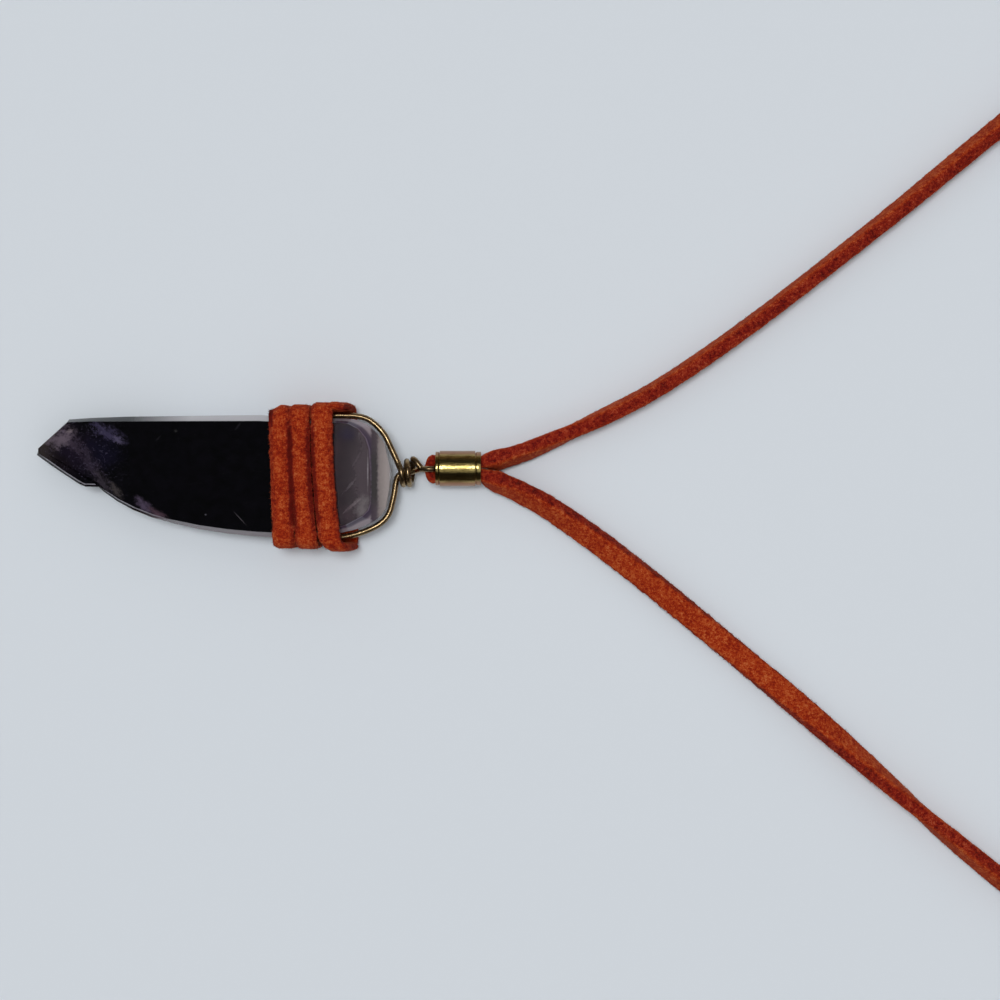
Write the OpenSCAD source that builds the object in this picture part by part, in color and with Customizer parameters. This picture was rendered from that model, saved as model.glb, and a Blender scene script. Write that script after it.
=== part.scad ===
// Crystal pendant necklace, lying flat on a table.
// A polished amethyst blade is bound with flat suede lace to a bent brass wire. The wire's eye
// hangs in a fold of the same kind of lace, a brass bead holds the fold shut, and the lace runs
// on in two strands round to a barrel clasp at the back of the neck.
// Millimetres. X runs from the crystal's tip to the bead, Y to the upper strand, Z up.

/* [Crystal] */
// Thickness of the crystal between its front and back faces
crystal_t = 4.8; // [4.4:0.1:5.2]
// Height of the sloping band round the front face
front_bevel = 1.4; // [1.1:0.1:1.5]
// Height of the sloping band round the back face
back_bevel = 1.1; // [0.8:0.1:1.2]
// How much of the front band's width the back band has
back_share = 0.65; // [0.5:0.05:0.8]

/* [Suede lace] */
// Width of the lace over its nap, where nothing presses on it
lace_w = 3.3; // [3.1:0.05:3.4]
// Thickness of the lace over its nap, where nothing presses on it
lace_t = 2; // [1.8:0.05:2.1]
// Width of the lace where the bead presses on it
pressed_w = 3; // [2.9:0.05:3]
// Thickness of the lace where the bead presses on it
pressed_t = 1.5; // [1.4:0.05:1.5]
// Width of a turn of the wrap, squeezed by the turns beside it
wrap_w = 2.8; // [2.5:0.1:2.8]
// Thickness of the lace in the wrap, where it is pulled tight
wrap_t = 1.2; // [1:0.05:1.25]

/* [Brass wire] */
// Diameter of the wire
wire_d = 0.82; // [0.7:0.02:0.82]
// Radius of the eye, to the middle of the wire
eye_r = 1.47; // [1.45:0.01:1.49]
// Radius of the coil round the neck, to the middle of the wire
coil_r = 1.6; // [1.55:0.05:1.65]

/* [Brass bead] */
// Diameter of the bead's barrel
bead_d = 4.9; // [4.8:0.1:5.1]
// Diameter of the bead's two end rims
rim_d = 4.65; // [4.6:0.05:4.7]
// Diameter of the hole through the bead
bead_bore = 4.3; // [4.25:0.01:4.32]
// Width of the groove that parts each rim from the barrel
groove_w = 0.18; // [0.12:0.02:0.24]

/* [Clasp] */
// Diameter of the clasp's barrel
clasp_d = 5.4; // [5.2:0.1:5.8]
// Length of the clasp
clasp_l = 14; // [13.5:0.1:14.5]
// Diameter of the hole that each end of the lace goes into
clasp_bore = 4; // [3.95:0.05:4.2]

/* [Hidden] */

gap = 0.05;          // clearance between pieces that touch on the real necklace
round_fn = 64;       // sides of the bead and the clasp
wire_sides = 12;
X = 0;               // columns of a point
Y = 1;
Z = 2;

// The crystal's outline, clockwise from the tip, and beside each point the edge of the front face.
// Columns: outline x, outline y, front face x, front face y.
TIP_AND_TOP = [
    [-30.2, 3.85, -29.9, 3.72],
    [-26.0, 7.75, -25.85, 7.3],
    [-23.0, 7.95, -23.0, 7.4],
    [-18.0, 8.12, -18.0, 7.4],
    [0.5, 8.3, 0.5, 7.4],
    [7.0, 7.85, 7.0, 7.15],
    [11.8, 7.8, 11.6, 7.15]
];
HEAD = [
    [13.4, 7.7, 12.6, 7.0],
    [15.1, 7.0, 13.9, 6.3],
    [16.45, 5.8, 14.85, 5.1],
    [17.45, 4.33, 15.3, 3.7],
    [18.2, 1.0, 15.5, 0.7],
    [18.15, -1.5, 15.6, -1.7],
    [17.6, -4.4, 15.5, -3.8],
    [17.05, -5.35, 15.2, -4.7],
    [16.1, -6.2, 14.4, -5.5],
    [13.6, -7.3, 12.3, -6.65],
    [11.1, -7.9, 10.5, -7.2],
    [8.4, -8.2, 8.2, -7.5]
];
CHIPPED_EDGE = [
    [-21.65, -1.5, -21.45, -1.05],
    [-23.5, -1.48, -23.4, -1.03],
    [-24.35, -1.12, -24.12, -0.68],
    [-26.3, 0.14, -26.0, 0.49],
    [-28.8, 1.84, -28.4, 2.17],
    [-30.2, 2.85, -29.85, 3.1]
];
// The rounded belly below the middle is one curve through three named points.
BELLY_RIGHT = [4.2, -8.55];
BELLY_PULL = [-14.1, -7.85];
BELLY_LEFT = [-21.0, -2.12];
BELLY_BAND = [0.75, 0.4];    // width of the front band at its right and left ends
BELLY_STEPS = 8;

// The wrap's turns, in the pendant's own plane.
// Columns: x at the four corners in the order that the lace meets them, then the inside of the
// lace at the crystal's top and bottom edges.
WRAP = [
    [2.95, 3.05, 3.95, 4.1, 8.42, -8.7],
    [5.8, 5.95, 7.05, 7.2, 8.5, -8.8],
    [8.7, 8.85, 10.4, 12.2, 8.8, -9.12],
    [12.1, 11.9, 11.9, 11.9, 8.85, -9.12]
];
WRAP_START = 2.1;    // x of the lace's hidden end behind the crystal
corner_r = 0.55;     // inside radius of the lace where it turns round the crystal's edge
corner_steps = 3;
corner_slant = 0.3;  // how much of its slant the lace makes in the bend itself

// The pendant lies on the back of its wrap and on the crystal's tip, so it leans a little.
pivot_x = WRAP_START - wrap_w / 2;
rest_z = wrap_t + gap;
lie = atan(rest_z / (pivot_x - TIP_AND_TOP[0][0] + gap));
shift_x = 0.17;      // puts the origin midway between the crystal's tip and the bead's far end

neck_y = 0.42;       // middle of the wire's coiled neck
neck_z = 2.95;
EYE = [23.45, 0.95, 2.5];
bead_x = 24.3;       // left end of the bead
bead_l = 6.25;
bead_y = 1.03;
bead_z = bead_d / 2;
left_rim = 0.58;     // width of each end rim with its groove
right_rim = 0.79;
groove_d = 0.1;
bead_lip = 0.08;     // easing of the bead's edges

// The wire's two arms, from their hidden ends under the wrap to the neck.
// Columns: x, y, how far the wire has bent down out of the crystal's middle plane.
LOWER_ARM = [
    [8.6, -8.65, 0.0],
    [9.9, -8.6, 0.0],
    [11.4, -8.45, 0.0],
    [13.0, -8.13, 0.0],
    [14.4, -7.7, 0.05],
    [15.6, -7.2, 0.1],
    [16.65, -6.6, 0.2],
    [17.5, -5.85, 0.35],
    [18.05, -4.9, 0.5],
    [18.4, -3.6, 0.7],
    [18.7, -2.1, 0.92],
    [18.87, -0.85, 1.1]
];
STEM = [
    [19.2, 0.02, 2.97],
    [19.95, 0.42, 2.95],
    [20.6, 0.48, 2.93],
    [21.15, 0.62, 2.72],
    [21.65, 0.82, 2.25]
];
NECK_BEND = [
    [22.3, 1.12, 3.6],
    [21.95, 1.55, 3.6],
    [21.6, 2.0, 3.5],
    [21.32, 2.27, 3.28]
];
UPPER_ARM = [
    [19.2, 1.75, 0.05],
    [18.75, 2.75, 0.05],
    [18.15, 4.05, 0.0],
    [17.55, 5.3, 0.0],
    [16.9, 6.2, 0.0],
    [15.95, 7.15, 0.0],
    [14.85, 7.85, 0.0],
    [13.4, 8.2, 0.0],
    [11.8, 8.28, 0.0],
    [10.0, 8.3, 0.0],
    [7.6, 8.32, 0.0]
];
arm_out = 0.15;      // how much further out along X the arms lie than their columns say

eye_in = 330;        // degrees round the eye, from its left over the top, where the wire comes in
eye_out = 58;        // and where it leaves for the coil
eye_steps = 14;
coil_x = 19.7;       // where the coil's first turn crosses the top
coil_pitch = 0.86;
coil_end = 720;      // degrees round the neck, counted from the upper strand's side
coil_start = 90;
coil_step = 30;
coil_flare = 0.3;    // the last quarter turn stands out from the rest

// One leg of the lace fold, from the eye's middle into the bead, mirrored for the other leg.
// Columns: x, y from the fold's middle line, half thickness, half width.
FOLD_LEG = [
    [23.46, 0.0, 0.76, 0.78],
    [23.52, 0.47, 0.68, 0.88],
    [23.7, 0.98, 0.7, 1.05],
    [23.98, 1.33, 0.69, 1.12],
    [24.35, 1.25, 0.55, 1.1],
    [25.0, 1.2, 0.58, 1.15],
    [26.0, 1.0, 0.62, 1.35],
    [27.2, 0.85, 0.7, 1.45],
    [28.4, 0.8, 0.73, 1.48],
    [29.5, 0.8, 0.75, 1.5]
];

// The two free strands, from inside the bead to inside the clasp.
// Columns: x, y, height above lying flat on the table, roll of the lace about its own run.
STRAND_UPPER = [
    [29.5, 1.83, 0.95, 90],
    [30.6, 1.87, 0.95, 90],
    [31.2, 2.03, 0.85, 88],
    [32, 2.12, 0.72, 78],
    [33.5, 2.38, 0.6, 71],
    [36.5, 3.3, 0.35, 72],
    [40, 4.75, 0.15, 78],
    [47, 7.95, 0, 102],
    [54, 11.55, 0, 103],
    [61, 16.05, 0, 103],
    [68, 21.05, 0, 103],
    [75, 26.35, 0, 103],
    [81.5, 31.45, 0, 105],
    [88.5, 37, 0, 108],
    [95, 42.35, 0, 112],
    [102, 48.1, 0, 116],
    [108.5, 53.2, 0, 124],
    [115.5, 58.2, 0, 135],
    [122.5, 62.8, 0, 145],
    [129.5, 66.8, 0, 155],
    [136.5, 69.6, 0, 165],
    [143.5, 70.5, 0, 173],
    [150, 69, 0, 180],
    [155.5, 65, 0, 180],
    [159.5, 59.5, 0, 180],
    [162, 52.8, 0, 180],
    [163.5, 46, 0, 180],
    [164.3, 39, 0, 180],
    [164.7, 32, 0, 180],
    [164.9, 25, 0.1, 180],
    [165, 18, 0.6, 180],
    [165, 11.5, 1.35, 180],
    [165, 6, 1.7, 180],
    [165, 1.5, 1.7, 180]
];
STRAND_LOWER = [
    [29.5, 0.23, 0.95, 90],
    [30.6, 0.21, 0.95, 90],
    [31.2, -0.08, 0.85, 86],
    [32, -0.48, 0.72, 73],
    [33.5, -1.1, 0.6, 64],
    [36.5, -2.52, 0.4, 54],
    [40, -4.45, 0.2, 48],
    [47, -9.3, 0, 32],
    [54, -14.75, 0, 20],
    [61, -20.5, 0, 10],
    [68, -26.3, 0, -4],
    [75, -32.2, 0, -24],
    [81.5, -37.8, 0, -50],
    [88.5, -43.95, 0, -76],
    [95, -49.6, 0, -104],
    [102, -55.35, 0, -117],
    [108.5, -60.3, 0, -128],
    [115.5, -65.1, 0, -136],
    [122.5, -69.3, 0, -146],
    [129.5, -72.6, 0, -156],
    [136.5, -74.7, 0, -166],
    [143.5, -75.2, 0, -175],
    [150, -73.4, 0, -180],
    [155.5, -69.3, 0, -180],
    [159.5, -63.6, 0, -180],
    [162, -57, 0, -180],
    [163.5, -50, 0, -180],
    [164.3, -43, 0, -180],
    [164.7, -36, 0, -180],
    [164.9, -29, 0.1, -180],
    [165, -22, 0.5, -180],
    [165, -15, 1.2, -180],
    [165, -8, 1.7, -180],
    [165, -3.5, 1.7, -180]
];
open_run = 0.8;      // the lace opens to its full size in this run past the bead
clasp_x = 165;       // middle of the clasp
clasp_y = -1;
clasp_bottom = 2.5;  // from its middle to the bottom of each hole
clasp_collar = 1.2;  // length of the collar round each mouth
clasp_waist = 0.35;  // how far the barrel is turned down between the collars
clasp_ring = 0.5;    // half width of the raised ring round its middle
clasp_lip = 0.2;

// The lace's section in half widths and half thicknesses: a flat strip with eased corners.
LACE_SECTION = [
    [1, -0.6], [1, 0.6], [0.8, 1], [-0.8, 1],
    [-1, 0.6], [-1, -0.6], [-0.8, -1], [0.8, -1]
];
WIRE_SECTION = [for (k = [0 : wire_sides - 1]) [cos(k * 360 / wire_sides), sin(k * 360 / wire_sides)]];

function unit(v) = v / norm(v);
function last(list) = list[len(list) - 1];
function backwards(list) = [for (k = [len(list) - 1 : -1 : 0]) list[k]];

// Direction of a run of points at point k
function run_at(points, k) =
    unit(points[min(k + 1, len(points) - 1)] - points[max(k - 1, 0)]);

// A section placed at a point, with its width across and its thickness outwards
function ring(section, centre, across, outwards, half_w, half_t) =
    [for (p = section) centre + across * (p[0] * half_w) + outwards * (p[1] * half_t)];

// Carry a sideways direction along a run with the least twist
function carried(side, run) = unit(side - run * (side * run));

function wire_rings(points, first_side) = [
    for (k = 0, side = carried(first_side, run_at(points, 0));
         k < len(points);
         k = k + 1,
         side = k < len(points) ? carried(side, run_at(points, k)) : side)
        ring(WIRE_SECTION, points[k], side, cross(run_at(points, k), side), wire_d / 2, wire_d / 2)
];

// A closed tube through equal rings
module tube(rings) {
    n = len(rings[0]);
    ends = len(rings) - 1;
    polyhedron(
        points = [for (r = rings) each r],
        faces = concat(
            [[for (j = [0 : n - 1]) j]],
            [[for (j = [n - 1 : -1 : 0]) ends * n + j]],
            [for (i = [0 : ends - 1]) for (j = [0 : n - 1])
                let (a = i * n + j, b = i * n + (j + 1) % n)
                each [[a, a + n, b + n], [a, b + n, b]]]
        ),
        convexity = 8
    );
}

// Puts the pendant's own plane on the table
module laid() {
    translate([pivot_x + shift_x, 0, 0])
        rotate([0, -lie, 0])
            translate([-pivot_x, 0, 0])
                children();
}

function laid_point(p) = [
    pivot_x + shift_x + (p[X] - pivot_x) * cos(lie) - p[Z] * sin(lie),
    p[Y],
    (p[X] - pivot_x) * sin(lie) + p[Z] * cos(lie)
];

function belly(t) =
    BELLY_RIGHT * ((1 - t) * (1 - t)) + BELLY_PULL * (2 * t * (1 - t)) + BELLY_LEFT * (t * t);
function belly_run(t) =
    unit((BELLY_PULL - BELLY_RIGHT) * (1 - t) + (BELLY_LEFT - BELLY_PULL) * t);
function belly_row(t) =
    let (p = belly(t), d = belly_run(t), band = BELLY_BAND * [1 - t, t])
    [p[X], p[Y], p[X] + d[Y] * band, p[Y] - d[X] * band];

CRYSTAL_ROWS = concat(
    TIP_AND_TOP,
    HEAD,
    [for (k = [0 : BELLY_STEPS]) belly_row(k / BELLY_STEPS)],
    CHIPPED_EDGE
);

module crystal() {
    girdle = backwards([for (r = CRYSTAL_ROWS) [r[0], r[1]]]);
    table = backwards([for (r = CRYSTAL_ROWS) [r[2], r[3]]]);
    back = [for (k = [0 : len(girdle) - 1]) girdle[k] + (table[k] - girdle[k]) * back_share];
    color("#1b1426")
        laid()
            tube([
                [for (p = back) [p[X], p[Y], rest_z]],
                [for (p = girdle) [p[X], p[Y], rest_z + back_bevel]],
                [for (p = girdle) [p[X], p[Y], rest_z + crystal_t - front_bevel]],
                [for (p = table) [p[X], p[Y], rest_z + crystal_t]]
            ]);
}

// One bend of the wrap round an edge of the crystal: c is 0 back top, 1 front top,
// 2 front bottom, 3 back bottom, and the lace arrives there facing the angle from
function bend_rings(turn, c, steps) =
    let (
        low = rest_z - gap,
        high = rest_z + crystal_t + gap,
        at_top = c < 2,
        centre_y = at_top ? turn[4] - corner_r : turn[5] + corner_r,
        centre_z = (c == 1 || c == 2) ? high - corner_r : low + corner_r,
        from = [-90, 0, 90, 180][c],
        next_x = at_top ? turn[1] : turn[3],
        r = corner_r + wrap_t / 2
    )
    [for (k = [0 : steps])
        let (
            angle = from + 90 * k / corner_steps,
            outwards = [0, cos(angle), sin(angle)],
            run = [0, -sin(angle), cos(angle)],
            across = cross(outwards, run),
            x = turn[c] + (next_x - turn[c]) * k / corner_steps * corner_slant
        )
        ring(LACE_SECTION, [x, centre_y, centre_z] + outwards * r, across, outwards, wrap_w / 2, wrap_t / 2)
    ];

WRAP_RINGS = concat(
    [ring(
        LACE_SECTION,
        [WRAP_START, 0, rest_z - gap - wrap_t / 2],
        [1, 0, 0],
        [0, 0, -1],
        wrap_w / 2,
        wrap_t / 2
    )],
    [for (t = [0 : len(WRAP) - 2]) for (c = [0 : 3]) each bend_rings(WRAP[t], c, corner_steps)],
    bend_rings(last(WRAP), 0, corner_steps),
    bend_rings(last(WRAP), 1, 1)
);

module lace_wrap() {
    color("#a83a16")
        laid()
            tube(WRAP_RINGS);
}

// Height of the wire's own plane, half way up the crystal's outer edge
wire_plane = rest_z + (back_bevel + crystal_t - front_bevel) / 2;
function arm_points(rows) = [
    for (r = rows) laid_point([r[0] - shift_x + arm_out, r[1], wire_plane]) - [0, 0, r[2]]
];

function eye_point(angle) = EYE + [-cos(angle), 0, sin(angle)] * eye_r;
function coil_point(angle) =
    let (r = coil_r + coil_flare * max(0, angle - coil_end + 90) / 90)
    [
        coil_x + coil_pitch * (angle - coil_start) / 360,
        neck_y + r * cos(angle),
        neck_z + r * sin(angle)
    ];

// One wire: lower arm, stem, eye, coil round the stem, upper arm
WIRE_POINTS = concat(
    arm_points(LOWER_ARM),
    STEM,
    [for (k = [0 : eye_steps])
        eye_point(eye_in + (eye_out - eye_in) * k / eye_steps)],
    NECK_BEND,
    [for (angle = [coil_end : -coil_step : coil_start]) coil_point(angle)],
    arm_points(UPPER_ARM)
);

module wire_frame() {
    color("#b08d57")
        tube(wire_rings(WIRE_POINTS, [0, 0, 1]));
}

module bead() {
    barrel = bead_d / 2;
    rim = rim_d / 2;
    bore = bead_bore / 2;
    groove = rim - groove_d;
    lip = bead_lip;
    color("#b5914f")
        translate([bead_x, bead_y, bead_z])
            rotate([90, 0, 90])
                rotate_extrude($fn = round_fn)
                    polygon([
                        [bore, 0],
                        [rim - lip, 0],
                        [rim, lip],
                        [rim, left_rim - groove_w],
                        [groove, left_rim],
                        [barrel - lip, left_rim],
                        [barrel, left_rim + lip],
                        [barrel, bead_l - right_rim - lip],
                        [barrel - lip, bead_l - right_rim],
                        [groove, bead_l - right_rim],
                        [rim, bead_l - right_rim + groove_w],
                        [rim, bead_l - lip],
                        [rim - lip, bead_l],
                        [bore, bead_l]
                    ]);
}

// The fold's middle line runs from the eye to the bead's axis
function fold_middle(x) =
    EYE[Y] + (bead_y - EYE[Y]) * (x - EYE[X]) / (last(FOLD_LEG)[0] - EYE[X]);

// The fold's two legs as one run of rows: columns x, y, half thickness, half width
FOLD = concat(
    [for (r = backwards(FOLD_LEG)) [r[0], fold_middle(r[0]) - r[1], r[2], r[3]]],
    [for (k = [1 : len(FOLD_LEG) - 1])
        let (r = FOLD_LEG[k])
        [r[0], fold_middle(r[0]) + r[1], r[2], r[3]]]
);
FOLD_POINTS = [for (r = FOLD) [r[0], r[1], EYE[Z]]];

module lace_fold() {
    color("#a83a16")
        tube([
            for (k = [0 : len(FOLD) - 1])
                let (
                    run = k == 0 ? [-1, 0, 0] : k == len(FOLD) - 1 ? [1, 0, 0] : run_at(FOLD_POINTS, k),
                    side = [-run[Y], run[X], 0]
                )
                ring(LACE_SECTION, FOLD_POINTS[k], [0, 0, 1], -side, FOLD[k][3], FOLD[k][2])
        ]);
}

// How far the lace has opened out of the bead's grip, from 0 inside the mouth to 1
function opened(x) = min(1, max(0, (x - bead_x - bead_l) / open_run));
function strand_half_w(x) = (pressed_w + (lace_w - pressed_w) * opened(x)) / 2;
function strand_half_t(x) = (pressed_t + (lace_t - pressed_t) * opened(x)) / 2;

// How high the middle of the lace is when it rests on the table at a given roll
function rest_height(x, roll) = max([
    for (p = LACE_SECTION) p[0] * sin(roll) * strand_half_w(x) + p[1] * cos(roll) * strand_half_t(x)
]);

module strand(rows, last_run) {
    points = [for (r = rows) [r[0], r[1], r[2] + rest_height(r[0], r[3])]];
    ends = len(rows) - 1;
    color("#a83a16")
        tube([
            for (k = [0 : ends])
                let (
                    run = k == 0 ? [1, 0, 0] : k == ends ? last_run : run_at(points, k),
                    side = unit([-run[Y], run[X], 0]),
                    up = cross(run, side),
                    roll = rows[k][3]
                )
                ring(
                    LACE_SECTION,
                    points[k],
                    side * cos(roll) + up * sin(roll),
                    up * cos(roll) - side * sin(roll),
                    strand_half_w(rows[k][0]),
                    strand_half_t(rows[k][0])
                )
        ]);
}

module strand_upper() {
    strand(STRAND_UPPER, [0, -1, 0]);
}

module strand_lower() {
    strand(STRAND_LOWER, [0, 1, 0]);
}

module clasp() {
    barrel = clasp_d / 2;
    bore = clasp_bore / 2;
    half = clasp_l / 2;
    waist = barrel - clasp_waist;
    color("#b5914f")
        translate([clasp_x, clasp_y, barrel])
            rotate([-90, 0, 0])
                difference() {
                    rotate_extrude($fn = round_fn)
                        polygon([
                            [0, -half],
                            [barrel - clasp_lip, -half],
                            [barrel, -half + clasp_lip],
                            [barrel, -half + clasp_collar],
                            [waist, -half + clasp_collar + clasp_waist],
                            [waist, -clasp_ring],
                            [barrel, -clasp_lip],
                            [barrel, clasp_lip],
                            [waist, clasp_ring],
                            [waist, half - clasp_collar - clasp_waist],
                            [barrel, half - clasp_collar],
                            [barrel, half - clasp_lip],
                            [barrel - clasp_lip, half],
                            [0, half]
                        ]);
                    translate([0, 0, clasp_bottom])
                        cylinder(h = half, r = bore, $fn = round_fn);
                    translate([0, 0, -clasp_bottom - half])
                        cylinder(h = half, r = bore, $fn = round_fn);
                }
}

crystal();
lace_wrap();
wire_frame();
bead();
lace_fold();
strand_upper();
strand_lower();
clasp();
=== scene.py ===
import math

import bpy
import numpy as np
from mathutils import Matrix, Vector, noise


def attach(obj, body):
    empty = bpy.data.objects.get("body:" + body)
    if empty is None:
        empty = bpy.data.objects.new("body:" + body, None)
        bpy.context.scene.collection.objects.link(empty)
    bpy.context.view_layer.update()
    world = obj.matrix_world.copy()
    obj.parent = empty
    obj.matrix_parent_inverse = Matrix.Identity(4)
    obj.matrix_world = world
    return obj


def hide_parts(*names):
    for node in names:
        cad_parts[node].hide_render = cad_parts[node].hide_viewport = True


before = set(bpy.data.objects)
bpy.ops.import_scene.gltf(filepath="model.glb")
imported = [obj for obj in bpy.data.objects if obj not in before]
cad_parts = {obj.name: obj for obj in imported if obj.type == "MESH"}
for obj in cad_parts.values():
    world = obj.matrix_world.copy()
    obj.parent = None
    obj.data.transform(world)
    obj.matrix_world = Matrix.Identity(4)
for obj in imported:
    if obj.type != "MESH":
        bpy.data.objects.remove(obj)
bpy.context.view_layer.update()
MM = 0.001                           # in metres

# Camera
# It looks straight down on the table, and its picture takes in the pendant and the first 9 cm of the
# strands.
PICTURE_PX, PX_PER_MM = 1000, 7.25   # at the height of the bead's middle
PICTURE_W = PICTURE_PX / PX_PER_MM * MM
CAMERA_RISE = 243 * MM               # above that height
VIEW_MIDDLE = Vector((33.17, -3.31, 2.5)) * MM
camera = bpy.data.objects.new("camera", bpy.data.cameras.new("camera"))
camera.data.sensor_width = 36
camera.data.lens = camera.data.sensor_width * CAMERA_RISE / PICTURE_W
camera.data.clip_start = 0.01
camera.location = VIEW_MIDDLE + Vector((0, 0, CAMERA_RISE))
bpy.context.scene.collection.objects.link(camera)
bpy.context.scene.camera = camera


# The lace's two free strands
# Flat faux-suede lace, about 3.3 mm wide and 2 mm thick over its nap: polyester microfibre raised to
# a short nap on both faces and slit to width, so its two narrow sides are raw cut edges, darker and
# rougher. The strands leave the bead's mouth, roll over as they lie on the table and end in the clasp.
LACE_W = 3.3 * MM
LACE_T = 2 * MM
PRESSED_W = 3 * MM                   # its size inside the bead
PRESSED_T = 1.5 * MM
BEAD_MOUTH_X = 30.55 * MM
OPEN_RUN = 0.8 * MM                  # it opens to its full size in this run past the bead
SWELL, SWELL_X, SWELL_RUN = 0.17 * MM, 32.7 * MM, 1.2 * MM     # and swells a little where it is let go
# Columns: x, y and height above lying on the table, in mm, then the roll about its own run, in degrees.
UPPER_STRAND = [
    (29.5, 1.83, 0.95, 90), (30.6, 1.87, 0.95, 90), (31.2, 2.03, 0.85, 88), (32, 2.12, 0.72, 78),
    (33.5, 2.38, 0.6, 71), (36.5, 3.3, 0.35, 72), (40, 4.75, 0.15, 78), (47, 7.95, 0, 102),
    (54, 11.55, 0, 103), (61, 16.05, 0, 103), (68, 21.05, 0, 103), (75, 26.35, 0, 103),
    (81.5, 31.45, 0, 105), (88.5, 37, 0, 108), (95, 42.35, 0, 112), (102, 48.1, 0, 116),
    (108.5, 53.2, 0, 124), (115.5, 58.2, 0, 135), (122.5, 62.8, 0, 145), (129.5, 66.8, 0, 155),
    (136.5, 69.6, 0, 165), (143.5, 70.5, 0, 173), (150, 69, 0, 180), (155.5, 65, 0, 180),
    (159.5, 59.5, 0, 180), (162, 52.8, 0, 180), (163.5, 46, 0, 180), (164.3, 39, 0, 180),
    (164.7, 32, 0, 180), (164.9, 25, 0.1, 180), (165, 18, 0.6, 180), (165, 11.5, 1.35, 180),
    (165, 6, 1.7, 180), (165, 1.5, 1.7, 180),
]
LOWER_STRAND = [
    (29.5, 0.23, 0.95, 90), (30.6, 0.21, 0.95, 90), (31.2, -0.08, 0.85, 86), (32, -0.48, 0.72, 73),
    (33.5, -1.1, 0.6, 64), (36.5, -2.52, 0.4, 54), (40, -4.45, 0.2, 48), (47, -9.3, 0, 32),
    (54, -14.75, 0, 20), (61, -20.5, 0, 10), (68, -26.3, 0, -4), (75, -32.2, 0, -24), (81.5, -37.8, 0, -50),
    (88.5, -43.95, 0, -76), (95, -49.6, 0, -104), (102, -55.35, 0, -117), (108.5, -60.3, 0, -128),
    (115.5, -65.1, 0, -136), (122.5, -69.3, 0, -146), (129.5, -72.6, 0, -156), (136.5, -74.7, 0, -166),
    (143.5, -75.2, 0, -175), (150, -73.4, 0, -180), (155.5, -69.3, 0, -180), (159.5, -63.6, 0, -180),
    (162, -57, 0, -180), (163.5, -50, 0, -180), (164.3, -43, 0, -180), (164.7, -36, 0, -180),
    (164.9, -29, 0.1, -180), (165, -22, 0.5, -180), (165, -15, 1.2, -180), (165, -8, 1.7, -180),
    (165, -3.5, 1.7, -180),
]
RING_STEP = 0.3 * MM
ROUND = 28                           # points round the lace
SQUARE = (0.35, 0.5)                 # its corners, across and outwards: 0 is sharp, 1 an ellipse
TABLE_GAP = 0.02 * MM                # no part of a strand reaches lower
CLUMP = 0.6 * MM                     # size of a tuft of matted nap
FINER, FINER_SHARE = 2.3, 0.6        # how much smaller the tufts on it are, and how strong
NAP_BUMP = 0.07 * MM                 # how far tufts stand out of the face
EDGE_BUMP = 0.13 * MM                # and out of the cut edge
FIBRE_L = 0.26 * MM
FIBRE_R = 0.035 * MM
FIBRES_PER_MM2 = 7
FIBRE_SHARE = 0.25                   # of the map that the fibres have
CAP_SHARE = 0.02                     # of the map that the two ends have


def unit(vectors):
    return vectors / np.linalg.norm(vectors, axis=-1, keepdims=True)


def smoothed(rows, cuts=12):
    """Rows of numbers, x, y and z first, run through by one smooth Catmull-Rom curve."""
    rows = np.array(rows, float)
    a = np.vstack([2 * rows[0] - rows[1], rows[:-2], rows[-3:-2]])[:len(rows) - 1]
    b, c = rows[:-1], rows[1:]
    d = np.vstack([rows[2:], 2 * rows[-1] - rows[-2]])
    t = (np.arange(cuts) / cuts)[None, :, None]
    a, b, c, d = (rows_[:, None, :] for rows_ in (a, b, c, d))
    run = b + (c - a) * t / 2 + (2 * a - 5 * b + 4 * c - d) * t ** 2 / 2
    run = run + (3 * b - a - 3 * c + d) * t ** 3 / 2
    return np.vstack([run.reshape(-1, rows.shape[1]), rows[-1]])


def even(rows, step):
    """The same run of rows, at even steps along it."""
    rows = np.array(rows, float)
    gone = np.linalg.norm(np.diff(rows[:, :3], axis=0), axis=1).cumsum()
    gone = np.concatenate([[0], gone])
    at = np.linspace(0, gone[-1], round(gone[-1] / step) + 1)
    return np.column_stack([np.interp(at, gone, column) for column in rows.T])


def length_of(rows):
    return float(np.linalg.norm(np.diff(rows[:, :3], axis=0), axis=1).sum())


def squared(angles, square):
    """A ring with its corners drawn out: across in half widths, and outwards in half thicknesses."""
    turns = (np.cos(angles), np.sin(angles))
    return [np.sign(turn) * np.abs(turn) ** sharp for turn, sharp in zip(turns, square)]


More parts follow.
